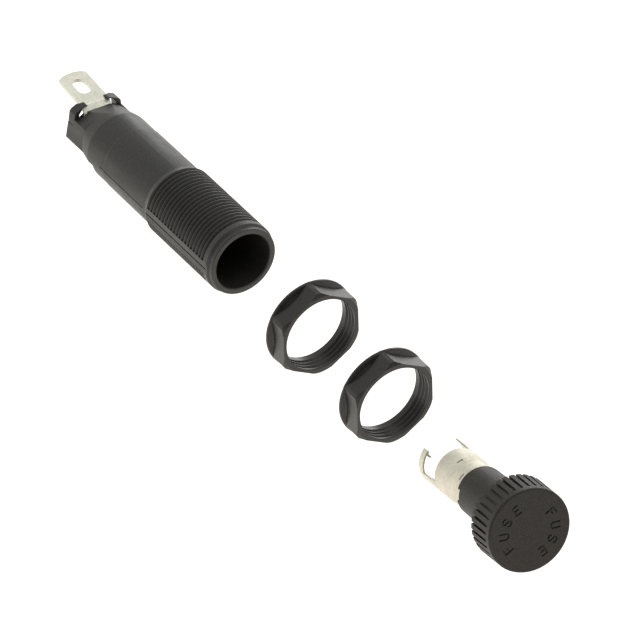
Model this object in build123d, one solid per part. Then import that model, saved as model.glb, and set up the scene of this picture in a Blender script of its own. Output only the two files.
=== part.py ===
from build123d import *
import math
import os

# Panel-mount holder for a 6.3 x 32 mm cartridge fuse, laid out ready to assemble.
#
# Frame: millimetres, +X along the barrel's axis towards the cap, +Z up.  The origin is
# the centre of the barrel's front rim.  The two nuts and the cap lie in front of it.

# ---- driving dimensions: barrel --------------------------------------------
THREAD_R = 7.72          # outside radius of the panel thread, for a 16 mm hole
THREAD_PITCH = 1.058     # 24 threads per inch
THREAD_DEPTH = 0.5
THREAD_TURNS = 20
THREAD_FRONT_X = -3.2    # first groove behind the rim
THREAD_START_X = -1.55   # end of the plain lead-in collar
COLLAR_R = 7.3
BODY_R = 7.12            # plain body behind the thread
RING_X = -41.0           # faint step round the plain body
FLAT_HALF_Y = 7.58       # moulded flats on both sides
MOUTH_R = 6.1            # bore that the cap's shank enters
MOUTH_END_X = -14.0
CLIP_BORE_R = 5.6        # bore round the fuse clip
CLIP_BORE_END_X = -33.0
FUSE_BORE_R = 4.4        # bore round the fuse's inner end
FUSE_BORE_END_X = -44.3
LUG_R = 4.1              # bayonet lugs, behind which the clip's arms hook
LUG_X = (-26.6, -24.8)
LUG_START = 55           # degrees from +Y towards +Z; the second lug is opposite
LUG_SWEEP = 16

# ---- rear section, open below and carrying the tabs ------------------------
FLOOR_X = -45.6          # where the lower half of the moulding ends
FLOOR_Z = -1.5
SHOULDER_X = -47.35      # where the upper side starts to slope down
WAIST_X = -50.5          # where the narrower rear section starts
REAR_R = 6.42
SIDE_BOTTOM_Y = 6.3      # the rear section's flat sides lean in towards the top
SIDE_TOP_Y = 5.45
SIDE_TOP_Z = 3.4         # top of the side walls beside the slope
MIDDLE_END_X = -55.05    # rear edge of the slope, over the end tab
MIDDLE_TOP_Z = 4.6
MIDDLE_HALF_Y = 2.7
EARS_X = -55.0           # front of the two hooked ears
EAR_FLOOR_Z = 2.0
REAR_X = -57.1

# ---- terminals -------------------------------------------------------------
TAB_WIDTH = 6.2          # quick-connect tabs, 6.3 x 0.8 series
SHEET = 0.8
TAB_HOLE = (4.7, 2.8)
TAB_HOLE_BACK = 4.6      # from the tab's tip to the middle of its hole
END_TAB_TIP_X = -65.85
END_TAB_BASE = (-56.15, 5.07)         # x and z of the bend where the end tab starts
END_TAB_SLOPE = math.radians(5.9)
END_RUN_X = -54.45       # rear end of the terminal's straight run inside the moulding
END_RUN_Z = 3.5
SIDE_TAB_TIP_X = -55.4
SIDE_TAB_Z = -4.0
PLATE_X = -43.95         # contact plate across the bottom of the bore

# ---- nuts ------------------------------------------------------------------
NUT_FLATS = 16.9
NUT_FLANGE_R = 9.6
NUT_LENGTH = 4.9
NUT_CORNER_TURN = 31.7   # degrees: corners almost straight up and down
NUT_BORE_R = THREAD_R + 0.05
NUT_FRONT_X = {"rear_nut": 28.3, "front_nut": 54.4}

# ---- cap, distances along it from its face ---------------------------------
KNOB_R = 8.4
KNOB_LENGTH = 7.4
FLUTES = 36
SHANK_END = -20.2
SHANK_R_KNOB = 5.2
SHANK_R_END = 4.98
SPRING_BORE_R = 3.55
CLIP_END = -29.7
CLIP_R = 4.86
CLIP_NECK_R = 4.58
CLIP_SHEET = 0.36
FINGER_END = -36.3
DISC_AT = -14.0          # contact disc on which the fuse's outer end rests
CAP_AXIS = Vector(0.971, -0.106, 0.212)
CAP_PIVOT = Vector(94.3, -3.6, 3.7)   # centre of the contact disc as laid out

WORD = "FUSE"            # engraved twice round the face
WORD_CENTRES = (161, -19)
LETTER_STEP = 31         # degrees between letters
LETTER_RING = 0.63       # of the knob's radius
LETTER_HEIGHT = 1.75
STROKE_WIDTH = 0.3
ENGRAVED = 0.22
STROKES = {
    "F": [((0, 0), (0, 1)), ((0, 1), (0.62, 1)), ((0, 0.54), (0.5, 0.54))],
    "U": [((0, 0.2), (0, 1)), ((0, 0.2), (0.15, 0)), ((0.15, 0), (0.5, 0)),
          ((0.5, 0), (0.65, 0.2)), ((0.65, 0.2), (0.65, 1))],
    "S": [((0.6, 0.84), (0.46, 1)), ((0.46, 1), (0.14, 1)), ((0.14, 1), (0, 0.84)),
          ((0, 0.84), (0, 0.64)), ((0, 0.64), (0.6, 0.36)), ((0.6, 0.36), (0.6, 0.16)),
          ((0.6, 0.16), (0.46, 0)), ((0.46, 0), (0.14, 0)), ((0.14, 0), (0, 0.16))],
    "E": [((0, 0), (0, 1)), ((0, 1), (0.62, 1)), ((0, 0.52), (0.5, 0.52)),
          ((0, 0), (0.62, 0))],
}

os.makedirs("parts", exist_ok=True)


# ---- helpers ---------------------------------------------------------------
def turned(points):
    """Solid of revolution about X of a closed outline given as (x, radius)."""
    outline = Polyline(*[(x, 0, r) for x, r in points], close=True)
    return revolve(make_face(outline), Axis.X, 360)


def block(x0, x1, y0, y1, z0, z1):
    """Box between two corners."""
    centre = ((x0 + x1) / 2, (y0 + y1) / 2, (z0 + z1) / 2)
    return Pos(*centre) * Box(abs(x1 - x0), abs(y1 - y0), abs(z1 - z0))


def rod(x0, x1, radius, y=0.0, z=0.0):
    """Cylinder along X."""
    return Pos((x0 + x1) / 2, y, z) * Rot(0, 90, 0) * Cylinder(radius, x1 - x0)


def sector(x0, x1, r_in, r_out, start, sweep):
    """Part of a ring about X; angles in degrees from +Y towards +Z."""
    outline = Polyline((x0, 0, r_in), (x1, 0, r_in), (x1, 0, r_out), (x0, 0, r_out), close=True)
    ring = revolve(make_face(outline), Axis.X, -sweep)
    return Rot(start - 90 + sweep, 0, 0) * ring


def strip(points, bend, width):
    """Bent sheet metal: a path in the XZ plane, given thickness and width."""
    path = FilletPolyline(*points, radius=bend) if bend else Polyline(*points)
    side = trace(path, line_width=SHEET)
    return Rot(90, 0, 0) * extrude(side, amount=width / 2, both=True)


def slab(points, half_width):
    """Outline in the XZ plane, made solid across Y."""
    face = make_face(Polyline(*[(x, 0, z) for x, z in points], close=True))
    return extrude(face, amount=half_width, both=True, dir=(0, 1, 0))


def coil(x0, x1, radius, wire_r, turns):
    """Compression spring along X."""
    path = Helix(pitch=(x1 - x0) / turns, height=x1 - x0, radius=radius)
    path = Pos(x0, 0, 0) * Rot(0, 90, 0) * path
    section = Plane(origin=path @ 0, z_dir=path % 0) * Circle(wire_r)
    return sweep(section, path=path, is_frenet=True)


def save(name, shape):
    """Write one node."""
    solids = shape.solids()
    whole = solids[0] if len(solids) == 1 else Compound(solids)
    export_step(whole, f"parts/{name}.step")


# ---- barrel ----------------------------------------------------------------
def thread_outline(first_x, count, crest_r, depth, outwards=1):
    """Points of V grooves walking towards -X; outwards=-1 cuts into a nut's bore."""
    crest = 0.17
    root = 0.10
    half = (THREAD_PITCH - crest) / 2
    points = []
    for turn in range(count):
        x = first_x - turn * THREAD_PITCH
        points.append((x + half, crest_r))
        points.append((x + root / 2, crest_r - outwards * depth))
        points.append((x - root / 2, crest_r - outwards * depth))
        points.append((x - half, crest_r))
    return points


def barrel_outside():
    """Collar, thread, plain body and the narrower rear section, with its flats."""
    edge = 0.15
    thread = thread_outline(THREAD_FRONT_X, THREAD_TURNS, THREAD_R, THREAD_DEPTH)
    thread_end = thread[-1][0]
    outline = [(0.0, 0.0), (0.0, COLLAR_R - edge), (-edge, COLLAR_R)]
    outline += [(THREAD_START_X + 0.45, COLLAR_R), (THREAD_START_X, THREAD_R)] + thread
    outline += [
        (thread_end - edge, THREAD_R),
        (thread_end - 1.5, BODY_R + 0.1),
        (RING_X, BODY_R + 0.05),
        (RING_X - 0.2, BODY_R - 0.03),
        (SHOULDER_X, BODY_R - 0.03),
        (WAIST_X, REAR_R),
        (REAR_X, REAR_R),
        (REAR_X, 0.0),
    ]
    flattened = turned(outline) & block(REAR_X - 1, 1, -FLAT_HALF_Y, FLAT_HALF_Y, -12, 12)
    plain_z = math.sqrt(THREAD_R ** 2 - FLAT_HALF_Y ** 2) - 0.02
    # The grooves stop at the flats, which are smooth.
    return flattened + block(thread_end, THREAD_START_X, -FLAT_HALF_Y, FLAT_HALF_Y, -plain_z, plain_z)


def above_slope():
    """What is cut away above the slope: it keeps the body's own curve as it falls."""
    run = SHOULDER_X - MIDDLE_END_X
    crown = BODY_R - math.sqrt(BODY_R**2 - MIDDLE_HALF_Y**2)
    fall = BODY_R - MIDDLE_TOP_Z - crown
    section = Pos(SHOULDER_X, 0, 0) * Rot(0, 90, 0) * Circle(BODY_R)
    kept = extrude(section, amount=math.hypot(run, fall), dir=(-run, 0, -fall))
    # the crown flattens out towards the rear edge
    kept -= slab([(MIDDLE_END_X - 1, MIDDLE_TOP_Z - 0.35), (WAIST_X + 1, 6.55),
                  (WAIST_X + 1, 9), (MIDDLE_END_X - 1, 9)], 9)
    kept += block(MIDDLE_END_X - 1, SHOULDER_X, -9, 9, -9, SIDE_TOP_Z)
    return block(MIDDLE_END_X, SHOULDER_X, -9, 9, -9, 9) - kept


def ears():
    """Two hooked ears that hold the end tab down."""
    side_y = SIDE_TOP_Y + 0.2
    half = [
        (side_y, EAR_FLOOR_Z - 0.3),
        (SIDE_TOP_Y, SIDE_TOP_Z),
        (5.3, 4.45),
        (4.9, 4.95),
        (2.9, 5.85),
        (2.45, 5.9),
        (2.25, 5.62),
        (3.3, 5.58),
        (3.75, 4.95),
        (4.25, 4.3),
        (4.45, EAR_FLOOR_Z + 0.4),
        (4.0, EAR_FLOOR_Z - 0.3),
    ]
    pair = None
    for side in (1, -1):
        profile = make_face(Polyline(*[(REAR_X, side * y, z) for y, z in half], close=True))
        ear = extrude(profile, amount=EARS_X - REAR_X, dir=(1, 0, 0))
        pair = ear if pair is None else pair + ear
    # the top falls away towards the rear
    return pair - slab([(REAR_X - 1, 5.0), (REAR_X + 1.2, 6.0), (REAR_X - 1, 7)], 9)


def leaning_sides():
    """Flat sides of the rear section, nearer together at the top."""
    corners = [(SIDE_BOTTOM_Y, FLOOR_Z), (SIDE_TOP_Y, SIDE_TOP_Z), (4.2, 9)]
    outline = corners + [(-y, z) for y, z in reversed(corners)]
    face = make_face(Polyline(*[(REAR_X - 1, y, z) for y, z in outline], close=True))
    kept = extrude(face, amount=WAIST_X - REAR_X + 1, dir=(1, 0, 0))
    return block(REAR_X - 1, WAIST_X, -9, 9, -9, 9) - kept


def barrel():
    body = barrel_outside()
    body -= block(REAR_X - 1, FLOOR_X, -9, 9, -9, FLOOR_Z)
    body -= above_slope()
    body -= leaning_sides()
    body -= block(REAR_X - 1, MIDDLE_END_X, -9, 9, EAR_FLOOR_Z, 9)
    body += ears()
    # slots that leave the ears free to spring
    for side in (1, -1):
        body -= block(EARS_X, EARS_X + 0.9, side * MIDDLE_HALF_Y, side * 4.2, SIDE_TOP_Z, 9)

    # stepped bore, with two lugs that the clip's arms turn behind
    body -= turned([
        (1, 0), (1, MOUTH_R), (MOUTH_END_X, MOUTH_R), (MOUTH_END_X - 0.6, CLIP_BORE_R),
        (CLIP_BORE_END_X, CLIP_BORE_R), (CLIP_BORE_END_X - 0.8, FUSE_BORE_R),
        (FUSE_BORE_END_X, FUSE_BORE_R), (FUSE_BORE_END_X, 0),
    ])
    body -= turned([(0.1, MOUTH_R - 0.2), (0.1, MOUTH_R + 0.25), (-0.25, MOUTH_R),
                    (-0.25, MOUTH_R - 0.2)])
    for start in (LUG_START, LUG_START + 180):
        body += sector(*LUG_X, LUG_R, CLIP_BORE_R + 0.2, start, LUG_SWEEP)

    # moulding line along both sides
    for side in (1, -1):
        y = side * FLAT_HALF_Y
        body -= block(-24.4, -1.8, y - 0.14, y + 0.14, -0.14, 0.14)
        y = side * BODY_R
        body -= block(FLOOR_X + 3, -26.0, y - 0.1, y + 0.3, -0.1, 0.1)
    return body - terminal_passages()


def terminal_passages():
    """Room for the two terminals and the contact button's stem."""
    half_y = TAB_WIDTH / 2 + 0.12
    half_z = SHEET / 2 + 0.12
    space = block(-46.2, -17.5, -1.75, 1.75, -6.2, -4.6)
    space += block(PLATE_X - 0.5, PLATE_X + 0.55, -half_y, half_y, -2.75, END_RUN_Z + half_z)
    space += block(END_RUN_X + 0.3, PLATE_X, -half_y, half_y, END_RUN_Z - half_z, END_RUN_Z + half_z)
    space += block(REAR_X - 1, END_RUN_X + 0.31, -half_y, half_y, END_RUN_Z - half_z,
                   END_RUN_Z + half_z)
    space += block(MIDDLE_END_X - 1, MIDDLE_END_X + 0.55, -half_y, half_y, END_RUN_Z, 5)
    return space + rod(-48.2, -43.0, 1.15)


# ---- terminals and rear contact --------------------------------------------
def tab_end(tip_x, tip_z, slope):
    """Tool that shapes the end of a quick-connect tab and cuts its hole."""
    half = TAB_WIDTH / 2
    plan = [(3, half), (0.95, half), (0.25, half - 1.15), (0, half - 2.25)]
    plan += [(x, -y) for x, y in reversed(plan)]
    plan += [(3, -half - 1), (-2, -half - 1), (-2, half + 1), (3, half + 1)]
    tool = extrude(make_face(Polyline(*plan, close=True)), amount=3, both=True)
    tool += Pos(TAB_HOLE_BACK, 0, 0) * extrude(SlotOverall(*TAB_HOLE), amount=3, both=True)
    return Pos(tip_x, 0, tip_z) * Rot(0, math.degrees(slope), 0) * tool


def end_terminal():
    """Contact plate, run along the moulding, bend up at the rear and the upper tab."""
    base_x, base_z = END_TAB_BASE
    tip_z = base_z + (base_x - END_TAB_TIP_X) * math.tan(END_TAB_SLOPE)
    path = [(PLATE_X, -2.6), (PLATE_X, END_RUN_Z), (END_RUN_X, END_RUN_Z), END_TAB_BASE,
            (END_TAB_TIP_X, tip_z)]
    metal = strip(path, 0.5, TAB_WIDTH)
    metal -= tab_end(END_TAB_TIP_X, tip_z, END_TAB_SLOPE)
    return metal - rod(PLATE_X - 1, PLATE_X + 1, 1.35)


def side_terminal():
    """Bowed strip that bears on the fuse clip, leading to the lower tab."""
    path = [(-18.6, -5.55), (-21.0, -5.35), (-30.0, -5.6), (-46.6, -5.6), (-47.6, SIDE_TAB_Z),
            (SIDE_TAB_TIP_X, SIDE_TAB_Z)]
    metal = strip(path, 0.6, TAB_WIDTH)
    for side in (1, -1):
        metal -= block(-47.4, -17, side * 1.5, side * 7.5, -7, -4.3)
    return metal - tab_end(SIDE_TAB_TIP_X, SIDE_TAB_Z, 0)


def contact_button():
    """Domed button on a stem, pushed forward by its spring."""
    return turned([(-45.6, 0), (-45.6, 1.0), (-40.0, 1.0), (-40.0, 3.6), (-39.2, 3.6),
                   (-38.5, 3.0), (-38.3, 0)])


# ---- nuts ------------------------------------------------------------------
def nut(front_x):
    """Flanged hexagon nut, flange towards the barrel."""
    rear_x = front_x - NUT_LENGTH
    across = NUT_FLATS / 2
    corner_r = NUT_FLATS / math.sqrt(3)
    lead = 0.12
    hexagon = Plane.YZ * RegularPolygon(corner_r, 6, rotation=NUT_CORNER_TURN)
    hexagon = Pos(rear_x, 0, 0) * extrude(hexagon, amount=NUT_LENGTH)
    corner_cut = NUT_FLANGE_R - 0.1
    chamfered = turned([
        (rear_x, 0), (rear_x, corner_cut), (front_x - 0.6, corner_cut),
        (front_x, across + 0.35), (front_x, 0),
    ])
    flange = turned([
        (rear_x, 0), (rear_x, NUT_FLANGE_R - 0.15), (rear_x + 0.15, NUT_FLANGE_R),
        (rear_x + 0.55, NUT_FLANGE_R), (rear_x + 0.7, NUT_FLANGE_R - 0.15),
        (rear_x + 0.95, across + 0.25), (rear_x + 1.5, across - 0.3), (rear_x + 1.5, 0),
    ])
    turns = int(NUT_LENGTH / THREAD_PITCH) - 1
    groove = thread_outline(front_x - 0.95, turns, NUT_BORE_R, THREAD_DEPTH - 0.15, -1)
    bore = [(front_x + 1, 0), (front_x + 1, NUT_BORE_R + lead), (front_x, NUT_BORE_R + lead)]
    bore += [(front_x - lead, NUT_BORE_R)] + groove
    bore += [(rear_x + lead, NUT_BORE_R), (rear_x, NUT_BORE_R + lead),
             (rear_x - 1, NUT_BORE_R + lead), (rear_x - 1, 0)]
    return (hexagon & chamfered) + flange - turned(bore)


# ---- cap, built along X with its face at x = 0 -----------------------------
def cap_placed(shape):
    """Lay a cap piece down in its place, tipped on the knob's rim."""
    x_dir = CAP_AXIS.normalized()
    hinge = Vector(1, 0, 0).cross(x_dir).normalized()
    tip = math.degrees(math.acos(x_dir.X))
    return (Pos(*CAP_PIVOT) * shape_rotation(hinge, tip) * Pos(-DISC_AT, 0, 0)) * shape


def shape_rotation(axis, angle):
    """Location that turns about an axis through the origin."""
    frame = Plane(origin=(0, 0, 0), z_dir=axis)
    return frame.location * Rot(0, 0, angle) * frame.location.inverse()


def letter(name):
    """Engraving tool for one plain stroke letter, upright in Y (right) and Z (up)."""
    tool = None
    for start, end in STROKES[name]:
        (y0, z0), (y1, z1) = [((y - 0.31) * LETTER_HEIGHT, (z - 0.5) * LETTER_HEIGHT)
                              for y, z in (start, end)]
        length = math.hypot(y1 - y0, z1 - z0) + STROKE_WIDTH
        turn = math.degrees(math.atan2(z1 - z0, y1 - y0))
        bar = Rot(turn, 0, 0) * Box(2 * ENGRAVED, length, STROKE_WIDTH)
        bar = Pos(0, (y0 + y1) / 2, (z0 + z1) / 2) * bar
        tool = bar if tool is None else tool + bar
    return tool


def knob_head():
    """Fluted grip with the word engraved on both halves of its face."""
    head = turned([
        (0, 0), (0, KNOB_R - 0.35), (-0.12, KNOB_R - 0.1), (-0.35, KNOB_R), (-1.05, KNOB_R),
        (-KNOB_LENGTH + 0.25, KNOB_R + 0.05), (-KNOB_LENGTH, KNOB_R - 0.2), (-KNOB_LENGTH, 0),
    ])
    flute = slab([
        (-1.35, KNOB_R + 0.25), (-1.35, KNOB_R - 0.22), (-KNOB_LENGTH - 1, KNOB_R - 0.75),
        (-KNOB_LENGTH - 1, KNOB_R + 0.25),
    ], 0.27)
    head -= [Rot(360 * n / FLUTES, 0, 0) * flute for n in range(FLUTES)]
    for centre in WORD_CENTRES:
        for place, name in enumerate(WORD):
            angle = centre + LETTER_STEP * (1.5 - place)
            head -= Rot(angle - 90, 0, 0) * Pos(0, 0, LETTER_RING * KNOB_R) * letter(name)
    return head


def knob():
    shank = turned([
        (-KNOB_LENGTH + 1, 0), (-KNOB_LENGTH + 1, SHANK_R_KNOB), (-KNOB_LENGTH, SHANK_R_KNOB),
        (SHANK_END + 0.15, SHANK_R_END), (SHANK_END, SHANK_R_END - 0.12), (SHANK_END, 0),
    ])
    body = knob_head() + shank
    # bore for the spring, the disc and the fuse, and the seat of the clip
    body -= rod(SHANK_END - 1, -3.2, SPRING_BORE_R)
    body -= rod(SHANK_END - 1, SHANK_END + 4.2, CLIP_NECK_R + 0.02)
    # notches that key the clip
    for start in (157, 337):
        body -= sector(SHANK_END - 0.5, SHANK_END + 0.95, SPRING_BORE_R, 6.5, start, 29)
    return body


def clip_arm():
    """Arm that reaches round from a neck on the sleeve, its tip curled in."""
    inner = CLIP_R - CLIP_SHEET
    width = 1.6
    curl_r = 0.95
    arm_start = 134
    arm = sector(FINGER_END, FINGER_END + width, inner, CLIP_R, arm_start, 60)
    arm += sector(FINGER_END, CLIP_END + 0.5, inner, CLIP_R, 190, 36)
    arm += sector(CLIP_END - 1.6, CLIP_END + 0.5, inner, CLIP_R, 186, 44)
    tip = Pos(FINGER_END, 0, 0) * sector(0, width, curl_r - CLIP_SHEET, curl_r, 90, 125)
    return arm + Rot(arm_start - 90, 0, 0) * Pos(0, 0, CLIP_R - curl_r) * tip


def fuse_clip():
    inner = CLIP_R - CLIP_SHEET
    seat = SHANK_END + 4.15
    neck_end = SHANK_END - 3.6
    flare_end = SHANK_END - 5.2
    clip = turned([
        (seat, CLIP_NECK_R), (neck_end, CLIP_NECK_R), (flare_end, CLIP_R), (CLIP_END, CLIP_R),
        (CLIP_END, inner), (flare_end, inner), (neck_end, CLIP_NECK_R - CLIP_SHEET),
        (seat, CLIP_NECK_R - CLIP_SHEET),
    ])
    arm = clip_arm()
    # lanced spot and edge notch
    lanced = Rot(17.6, 0, 0) * (block(-25.3, -25.0, -0.55, 0.65, 4, 6)
                                + block(-25.3, -24.0, 0.45, 0.7, 4, 6))
    notch = Rot(41.6, 0, 0) * block(-21.5, -21.2, -0.7, 0.7, 4, 6)
    for half in (0, 180):
        clip += Rot(half, 0, 0) * arm
        clip -= Rot(half, 0, 0) * lanced
        clip -= Rot(half, 0, 0) * notch
    return clip


def contact_disc():
    return turned([(DISC_AT - 0.5, 0), (DISC_AT - 0.5, 2.2), (DISC_AT - 0.3, 2.9),
                   (DISC_AT + 0.5, 2.9), (DISC_AT + 0.5, 1.6), (DISC_AT + 1.6, 1.4),
                   (DISC_AT + 1.6, 0)])


def cap_spring():
    return coil(DISC_AT + 1.0, -3.8, 2.55, 0.28, 6)


def main():
    save("barrel", barrel())
    save("end_terminal", end_terminal())
    save("side_terminal", side_terminal())
    save("contact_button", contact_button())
    save("button_spring", coil(-43.2, -40.35, 2.4, 0.22, 4))
    for name, front_x in NUT_FRONT_X.items():
        save(name, nut(front_x))
    save("knob", cap_placed(knob()))
    save("fuse_clip", cap_placed(fuse_clip()))
    save("cap_spring", cap_placed(cap_spring()))
    save("contact_disc", Pos(*CAP_PIVOT) * Pos(-DISC_AT, 0, 0) * contact_disc())


main()
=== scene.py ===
"""Looks of the cartridge fuse holder: materials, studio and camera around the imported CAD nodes."""

import math

import bpy
from mathutils import Matrix, Vector


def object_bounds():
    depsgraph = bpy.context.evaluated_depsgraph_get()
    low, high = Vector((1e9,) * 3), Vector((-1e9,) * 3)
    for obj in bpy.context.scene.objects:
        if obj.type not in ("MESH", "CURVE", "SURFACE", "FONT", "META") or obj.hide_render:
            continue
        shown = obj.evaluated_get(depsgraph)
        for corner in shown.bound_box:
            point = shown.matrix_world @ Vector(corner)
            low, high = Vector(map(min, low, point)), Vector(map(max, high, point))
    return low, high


# Camera: azimuth and elevation in degrees, distance, target offsets and clipping in metres,
# sensor and lens in millimetres.
AZIMUTH = 57.71
ELEVATION = 36.14
DISTANCE = 1.443
TARGET_RIGHT = 0.014845
TARGET_UP = -0.011282
SENSOR = 36.0
LENS = 417.7
CLIP_NEAR = 0.01
CLIP_FAR = 20.0

# The barrel's thread and bore, in metres: its crests get a painted highlight and its grooves painted
# shade.
CREST_RADIUS = 0.00772
GROOVE_RADIUS = 0.00722
GROOVE_FADE = 0.0003
BORE_RADIUS = 0.0061
THREAD_FRONT = -0.0019
THREAD_BACK = -0.0242
EDGE = 0.0003

# The studio: a white tent that darkens toward DARK_SIDE, from DARK_FROM to DARK_FULL along it.
DARK_SIDE = (0.82, -0.52, 0.24)
DARK_FROM = -0.1
DARK_FULL = 0.95
TENT_COLOUR = (1.0, 0.995, 0.955, 1.0)
TENT_BACK = 0.84
TENT_FRONT = 0.32

# The floor card glows a little above white, so it shows as plain white. Sizes in metres.
FLOOR_SIZE = 3.0
FLOOR_DROP = 0.0004
FLOOR_GLOW = 1.22
FLOOR_GLOW_COLOUR = (1.0, 0.955, 0.91, 1.0)

# Softboxes: azimuth and elevation in degrees, sides in metres, power in watts, colour.
SOFTBOX_DISTANCE = 1.0
SOFTBOXES = {
    "key": (150.0, 72.0, (1.1, 0.9), 2.6, (1.0, 0.995, 0.98)),
    "back": (224.0, 11.0, (0.7, 0.34), 1.6, (0.97, 0.99, 1.0)),
}

# The span that most noise values fall in, and the narrower one that sets off the moulded grain.
NOISE_SPAN = (0.3, 0.7)
GRAIN_SPAN = (0.42, 0.62)


# ---------------------------------------------------------------- node helpers

class Builder:
    """One material's node tree, with short calls for the nodes that every material uses."""

    def __init__(self, name):
        self.material = bpy.data.materials.new(name)
        self.material.use_nodes = True
        self.tree = self.material.node_tree
        self.shader = self.tree.nodes["Principled BSDF"]
        self.position = self.tree.nodes.new("ShaderNodeTexCoord").outputs["Object"]

    def plug(self, socket, value):
        if isinstance(value, bpy.types.NodeSocket):
            self.tree.links.new(value, socket)
        else:
            socket.default_value = value

    def stretched(self, scale):
        node = self.tree.nodes.new("ShaderNodeMapping")
        self.plug(node.inputs["Vector"], self.position)
        node.inputs["Scale"].default_value = scale
        return node.outputs["Vector"]

    def noise(self, scale, detail=3.0, roughness=0.5, vector=None, distortion=0.0):
        node = self.tree.nodes.new("ShaderNodeTexNoise")
        self.plug(node.inputs["Vector"], vector or self.position)
        node.inputs["Scale"].default_value = scale
        node.inputs["Detail"].default_value = detail
        node.inputs["Roughness"].default_value = roughness
        node.inputs["Distortion"].default_value = distortion
        return node.outputs["Fac"]

    def cells(self, scale, vector=None):
        node = self.tree.nodes.new("ShaderNodeTexVoronoi")
        self.plug(node.inputs["Vector"], vector or self.position)
        node.inputs["Scale"].default_value = scale
        return node.outputs["Distance"]

    def remap(self, value, low, high, to_low=0.0, to_high=1.0):
        node = self.tree.nodes.new("ShaderNodeMapRange")
        self.plug(node.inputs["Value"], value)
        node.inputs["From Min"].default_value = low
        node.inputs["From Max"].default_value = high
        node.inputs["To Min"].default_value = to_low
        node.inputs["To Max"].default_value = to_high
        return node.outputs["Result"]

    def spread(self, noise, to_low=0.0, to_high=1.0):
        """Noise stretched from its usual span to another."""
        return self.remap(noise, *NOISE_SPAN, to_low, to_high)

    def calculate(self, operation, first, second=0.0):
        node = self.tree.nodes.new("ShaderNodeMath")
        node.operation = operation
        self.plug(node.inputs[0], first)
        self.plug(node.inputs[1], second)
        return node.outputs["Value"]

    def mix(self, factor, first, second):
        node = self.tree.nodes.new("ShaderNodeMix")
        node.data_type = "RGBA"
        self.plug(node.inputs["Factor"], factor)
        for name, colour in (("A", first), ("B", second)):
            is_socket = isinstance(colour, bpy.types.NodeSocket)
            self.plug(node.inputs[name], colour if is_socket else (*colour, 1.0))
        return node.outputs["Result"]

    def varied(self, clouds, low, high, marks, swing):
        """Roughness that follows the clouds from low to high, and swings with finer marks."""
        return self.calculate("ADD", self.spread(clouds, low, high),
                              self.spread(marks, -swing, swing))

    def split(self):
        node = self.tree.nodes.new("ShaderNodeSeparateXYZ")
        self.plug(node.inputs["Vector"], self.position)
        return node

    def along(self):
        """Place along the barrel's axis."""
        return self.split().outputs["X"]

    def radius(self):
        """Distance from the barrel's axis."""
        split = self.split()
        y_squared = self.calculate("MULTIPLY", split.outputs["Y"], split.outputs["Y"])
        z_squared = self.calculate("MULTIPLY", split.outputs["Z"], split.outputs["Z"])
        return self.calculate("SQRT", self.calculate("ADD", y_squared, z_squared))

    def bump(self, height, distance, strength=1.0, under=None):
        node = self.tree.nodes.new("ShaderNodeBump")
        self.plug(node.inputs["Height"], height)
        node.inputs["Distance"].default_value = distance
        node.inputs["Strength"].default_value = strength
        if under is not None:
            self.plug(node.inputs["Normal"], under)
        return node.outputs["Normal"]

    def finish(self, colour, roughness, normal, **fixed):
        self.plug(self.shader.inputs["Base Color"], colour)
        self.plug(self.shader.inputs["Roughness"], roughness)
        self.plug(self.shader.inputs["Normal"], normal)
        for name, value in fixed.items():
            self.shader.inputs[name.replace("_", " ")].default_value = value
        return self.material


# ---------------------------------------------------------------- materials

def barrel_plastic():
    """Black moulded thermoplastic: flow marks, fine grain, painted shade in the grooves and a
    painted highlight on the crests.
    """
    b = Builder("barrel_plastic")
    clouds = b.noise(140.0, 4.0, 0.6)
    grain = b.noise(4200.0, 3.0, 0.6)
    flow = b.noise(1.0, 3.0, 0.5, b.stretched((60.0, 420.0, 420.0)))
    radius = b.radius()
    crest = b.remap(radius, GROOVE_RADIUS, CREST_RADIUS)
    behind_rim = b.remap(b.along(), THREAD_FRONT + EDGE, THREAD_FRONT)
    before_end = b.remap(b.along(), THREAD_BACK, THREAD_BACK + EDGE)
    on_thread = b.calculate("MULTIPLY", behind_rim, before_end)
    in_wall = b.remap(radius, BORE_RADIUS + EDGE, BORE_RADIUS + 2 * EDGE)
    below_crest = b.remap(radius, GROOVE_RADIUS + GROOVE_FADE, GROOVE_RADIUS)
    deep = b.calculate("MULTIPLY", in_wall, below_crest)
    groove = b.calculate("MULTIPLY", on_thread, deep)
    tone = b.mix(b.spread(clouds), (0.0105, 0.0102, 0.0090), (0.0165, 0.0160, 0.0142))
    # Painted highlight: the thread crests lightened, speckled by the grain.
    crest_highlight = b.calculate("MULTIPLY", crest, b.remap(grain, 0.35, 0.7, 0.1, 0.6))
    highlit_crests = b.mix(crest_highlight, tone, (0.034, 0.0330, 0.0300))
    grained = b.mix(b.remap(grain, *GRAIN_SPAN, 0.0, 0.6), highlit_crests, (0.046, 0.045, 0.041))
    # Painted shade: the thread grooves darkened nearly to black, short of the rim, the thread's end
    # and the bore.
    colour = b.mix(b.calculate("MULTIPLY", groove, 0.85), grained, (0.003, 0.003, 0.0028))
    satin = b.varied(clouds, 0.38, 0.50, flow, 0.06)
    roughness = b.calculate("ADD", satin, b.calculate("MULTIPLY", groove, 0.3))
    waves = b.bump(flow, 0.00006, 0.35)
    normal = b.bump(grain, 0.00003, 0.6, waves)
    return b.finish(colour, roughness, normal, IOR=1.5, Specular_IOR_Level=0.47)


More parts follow.
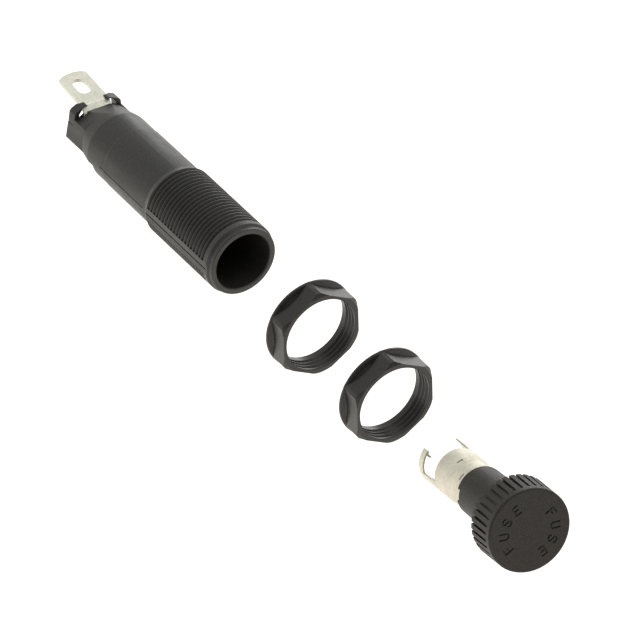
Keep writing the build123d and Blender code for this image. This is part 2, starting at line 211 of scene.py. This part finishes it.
def knob_plastic():
    """Black moulded thermoplastic of the cap, with the fine spark-eroded grain of its face."""
    b = Builder("knob_plastic")
    clouds = b.noise(170.0, 4.0, 0.6)
    grain = b.noise(4300.0, 3.0, 0.65)
    specks = b.cells(2600.0)
    tone = b.mix(b.spread(clouds), (0.0070, 0.0060, 0.0046), (0.0110, 0.0092, 0.0072))
    colour = b.mix(b.remap(grain, *GRAIN_SPAN, 0.0, 0.75), tone, (0.043, 0.037, 0.030))
    roughness = b.varied(clouds, 0.46, 0.56, grain, 0.05)
    pits = b.bump(specks, 0.00003, 0.25)
    normal = b.bump(grain, 0.00004, 0.55, pits)
    return b.finish(colour, roughness, normal, IOR=1.5, Specular_IOR_Level=0.32)


def nut_plastic():
    """Semi-gloss black thermoplastic of the nuts, a little streaked by the mould."""
    b = Builder("nut_plastic")
    clouds = b.noise(210.0, 4.0, 0.6)
    grain = b.noise(4800.0, 2.0, 0.55)
    streaks = b.noise(1.0, 3.0, 0.6, b.stretched((900.0, 260.0, 260.0)), 0.4)
    tone = b.mix(b.spread(clouds), (0.0060, 0.0056, 0.0046), (0.0105, 0.0098, 0.0084))
    colour = b.mix(b.remap(grain, *GRAIN_SPAN, 0.0, 0.6), tone, (0.036, 0.034, 0.030))
    roughness = b.varied(clouds, 0.24, 0.34, streaks, 0.06)
    waves = b.bump(streaks, 0.00006, 0.35)
    normal = b.bump(grain, 0.000025, 0.35, waves)
    return b.finish(colour, roughness, normal, IOR=1.5, Specular_IOR_Level=0.42)


def tin_plate(name, along, light, dull):
    """Satin tin plate over stamped brass, with rolling marks one way and faint tarnish."""
    b = Builder(name)
    clouds = b.noise(260.0, 5.0, 0.65)
    rolled = b.noise(1.0, 4.0, 0.6, b.stretched(along))
    grain = b.noise(3600.0, 3.0, 0.6)
    tone = b.mix(b.remap(clouds, 0.32, 0.68), dull, light)
    marked = b.mix(b.remap(rolled, 0.52, 0.78, 0.0, 0.5), tone, dull)
    shadow = tuple(0.8 * part for part in dull)
    colour = b.mix(b.remap(grain, 0.50, 0.66, 0.0, 0.5), marked, shadow)
    roughness = b.varied(clouds, 0.62, 0.50, rolled, 0.06)
    lines = b.bump(rolled, 0.00002, 0.5)
    normal = b.bump(grain, 0.00003, 0.5, lines)
    return b.finish(colour, roughness, normal, Metallic=1.0)


def terminal_metal():
    """Tin plate of the two terminals, rolled along the tabs."""
    return tin_plate("terminal_metal", (240.0, 3400.0, 3400.0),
                     (0.77, 0.765, 0.68), (0.66, 0.66, 0.585))


def clip_metal():
    """Slightly warmer tin plate of the fuse clip, rolled around the sleeve."""
    return tin_plate("clip_metal", (3000.0, 420.0, 420.0),
                     (0.74, 0.715, 0.615), (0.62, 0.595, 0.505))


def contact_brass():
    """Turned brass of the contact button and the cap's disc, with tool rings and darker patches."""
    b = Builder("contact_brass")
    clouds = b.noise(420.0, 4.0, 0.6)
    rings = b.noise(1.0, 2.0, 0.5, b.stretched((4200.0, 300.0, 300.0)))
    colour = b.mix(b.spread(clouds), (0.56, 0.41, 0.19), (0.76, 0.60, 0.31))
    roughness = b.varied(clouds, 0.38, 0.26, rings, 0.05)
    normal = b.bump(rings, 0.00002, 0.5)
    return b.finish(colour, roughness, normal, Metallic=1.0)


def spring_wire():
    """Drawn spring steel with draw marks and a slight grey bloom."""
    b = Builder("spring_wire")
    clouds = b.noise(500.0, 3.0, 0.6)
    drawn = b.noise(2600.0, 4.0, 0.65)
    colour = b.mix(b.spread(clouds), (0.40, 0.40, 0.41), (0.60, 0.60, 0.61))
    roughness = b.varied(clouds, 0.26, 0.38, drawn, 0.04)
    normal = b.bump(drawn, 0.00001, 0.4)
    return b.finish(colour, roughness, normal, Metallic=1.0)


def floor_card():
    """Bright white card under the object, with a barely visible paper mottle."""
    b = Builder("floor_card")
    mottle = b.noise(18.0, 3.0, 0.5)
    colour = b.mix(mottle, (0.14, 0.14, 0.14), (0.17, 0.17, 0.17))
    normal = b.bump(mottle, 0.0002, 0.1)
    return b.finish(colour, b.remap(mottle, 0.0, 1.0, 0.85, 0.95), normal,
                    Emission_Color=FLOOR_GLOW_COLOUR, Emission_Strength=FLOOR_GLOW)


def dress(nodes):
    """Gives every CAD node its material."""
    makers = {
        barrel_plastic: ("barrel",),
        knob_plastic: ("knob",),
        nut_plastic: ("rear_nut", "front_nut"),
        terminal_metal: ("end_terminal", "side_terminal"),
        clip_metal: ("fuse_clip",),
        contact_brass: ("contact_button", "contact_disc"),
        spring_wire: ("button_spring", "cap_spring"),
    }
    for maker, names in makers.items():
        material = maker()
        for name in names:
            slots = nodes[name].data.materials
            slots.clear()
            slots.append(material)


# ---------------------------------------------------------------- studio

def view_axes(azimuth, elevation):
    """Right, up and back directions of a camera that looks at the object from there."""
    a = math.radians(azimuth)
    e = math.radians(elevation)
    back = Vector((math.sin(a) * math.cos(e), -math.cos(a) * math.cos(e), math.sin(e)))
    right = Vector((math.cos(a), math.sin(a), 0.0))
    return right, back.cross(right), back


def facing(right, up, back, place):
    """The pose whose -Z looks along -back, at that place."""
    return Matrix((
        (right.x, up.x, back.x, place.x),
        (right.y, up.y, back.y, place.y),
        (right.z, up.z, back.z, place.z),
        (0.0, 0.0, 0.0, 1.0),
    ))


def add_camera():
    right, up, back = view_axes(AZIMUTH, ELEVATION)
    target = right * TARGET_RIGHT + up * TARGET_UP
    data = bpy.data.cameras.new("camera")
    data.lens = LENS
    data.sensor_width = SENSOR
    data.clip_start = CLIP_NEAR
    data.clip_end = CLIP_FAR
    camera = bpy.data.objects.new("camera", data)
    camera.matrix_world = facing(right, up, back, target + back * DISTANCE)
    bpy.context.scene.collection.objects.link(camera)
    bpy.context.scene.camera = camera


def add_softbox(name, target, azimuth, elevation, size, power, colour):
    right, up, back = view_axes(azimuth, elevation)
    data = bpy.data.lights.new(name, "AREA")
    data.shape = "RECTANGLE"
    data.size, data.size_y = size
    data.energy = power
    data.color = colour
    lamp = bpy.data.objects.new(name, data)
    lamp.matrix_world = facing(right, up, back, target + back * SOFTBOX_DISTANCE)
    bpy.context.scene.collection.objects.link(lamp)


def add_floor(low):
    half = FLOOR_SIZE / 2
    mesh = bpy.data.meshes.new("floor")
    corners = [(-half, -half, 0.0), (half, -half, 0.0), (half, half, 0.0), (-half, half, 0.0)]
    mesh.from_pydata(corners, [], [(0, 1, 2, 3)])
    mesh.materials.append(floor_card())
    floor = bpy.data.objects.new("floor", mesh)
    floor.location = (0.0, 0.0, low - FLOOR_DROP)
    bpy.context.scene.collection.objects.link(floor)


def add_world():
    """A white tent that is darker on the side where the photographer stands."""
    world = bpy.data.worlds.new("studio")
    world.use_nodes = True
    tree = world.node_tree
    around = tree.nodes.new("ShaderNodeTexCoord").outputs["Generated"]
    toward = tree.nodes.new("ShaderNodeVectorMath")
    toward.operation = "DOT_PRODUCT"
    tree.links.new(around, toward.inputs[0])
    toward.inputs[1].default_value = DARK_SIDE
    strength = tree.nodes.new("ShaderNodeMapRange")
    strength.interpolation_type = "SMOOTHSTEP"
    tree.links.new(toward.outputs["Value"], strength.inputs["Value"])
    strength.inputs["From Min"].default_value = DARK_FROM
    strength.inputs["From Max"].default_value = DARK_FULL
    strength.inputs["To Min"].default_value = TENT_BACK
    strength.inputs["To Max"].default_value = TENT_FRONT
    background = tree.nodes["Background"]
    background.inputs["Color"].default_value = TENT_COLOUR
    tree.links.new(strength.outputs["Result"], background.inputs["Strength"])
    bpy.context.scene.world = world


# ---------------------------------------------------------------- scene

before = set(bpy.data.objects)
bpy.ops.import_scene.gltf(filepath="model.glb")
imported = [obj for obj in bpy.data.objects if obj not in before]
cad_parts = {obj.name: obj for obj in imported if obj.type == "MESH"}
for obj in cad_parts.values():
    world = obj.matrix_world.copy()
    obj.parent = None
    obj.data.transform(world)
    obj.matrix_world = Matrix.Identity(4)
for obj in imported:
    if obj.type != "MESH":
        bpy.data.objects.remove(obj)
cad_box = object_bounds()
low, high = (Vector(corner) for corner in cad_box)
centre = (low + high) / 2

dress(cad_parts)
add_camera()
add_floor(low.z)
for name, softbox in SOFTBOXES.items():
    add_softbox(name, centre, *softbox)
add_world()
bpy.context.scene.view_settings.view_transform = "Standard"
